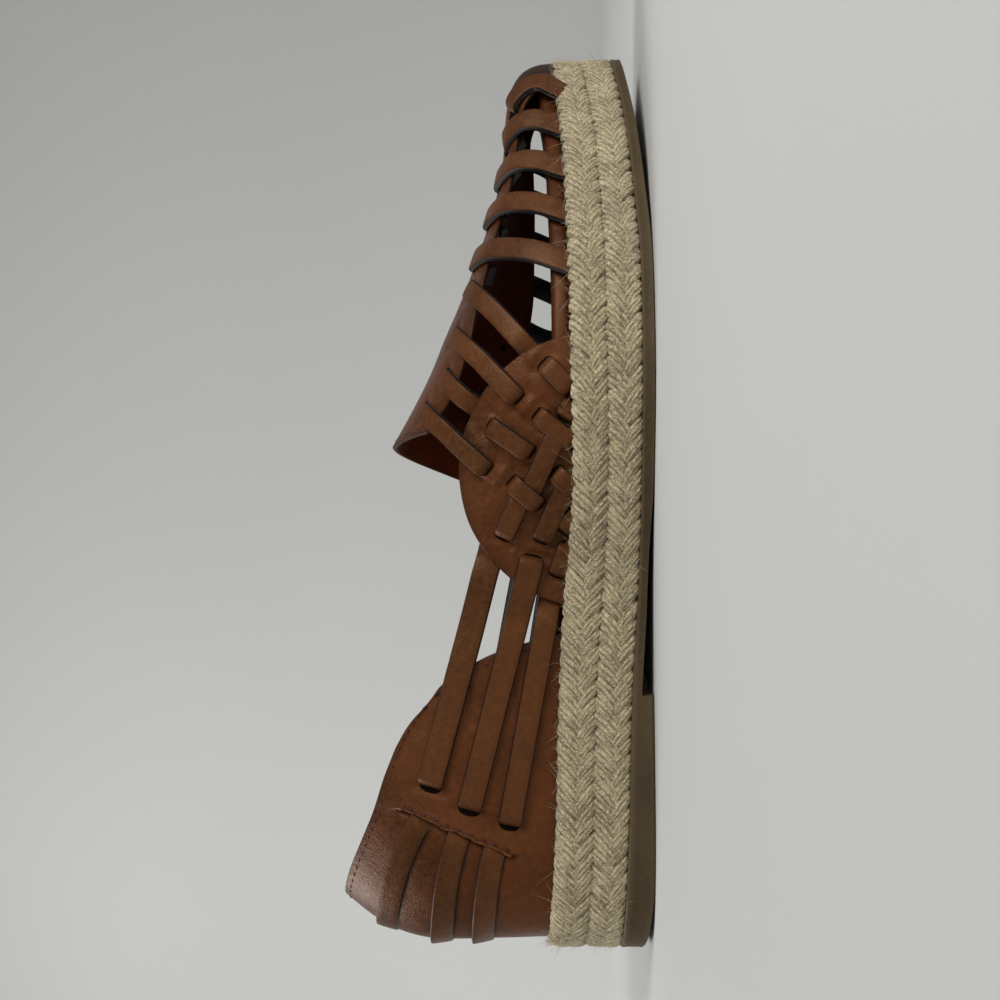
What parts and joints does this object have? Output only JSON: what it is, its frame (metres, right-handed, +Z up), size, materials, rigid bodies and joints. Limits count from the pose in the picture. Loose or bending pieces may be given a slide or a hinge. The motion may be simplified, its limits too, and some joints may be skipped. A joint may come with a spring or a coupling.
{
  "type": "espadrille",
  "caption": "Flatform espadrille slip-on with a woven leather strap upper, closed heel counter, open sides and a braided jute platform.",
  "frame": {"origin": "on the ground under the middle of the heel, at the heel's flat contact face", "axes": "+Y from heel to toe, +X to the outer (lateral) side of the right foot, +Z up from the ground"},
  "size_m": [0.0905, 0.2598, 0.0875],
  "materials": {
    "outsole_rubber": "matte taupe",
    "platform_filler": "matte",
    "jute_braid": "coarse natural jute braid",
    "footbed_leather": "smooth cognac",
    "upper_leather": "satin brown, fine grain"
  },
  "bodies": {
    "root": {"outsole": "outsole_rubber", "midsole": "platform_filler", "jute_wrap_lower": "jute_braid", "jute_wrap_upper": "jute_braid", "insole": "footbed_leather", "upper": "upper_leather"}
  },
  "joints": []
}
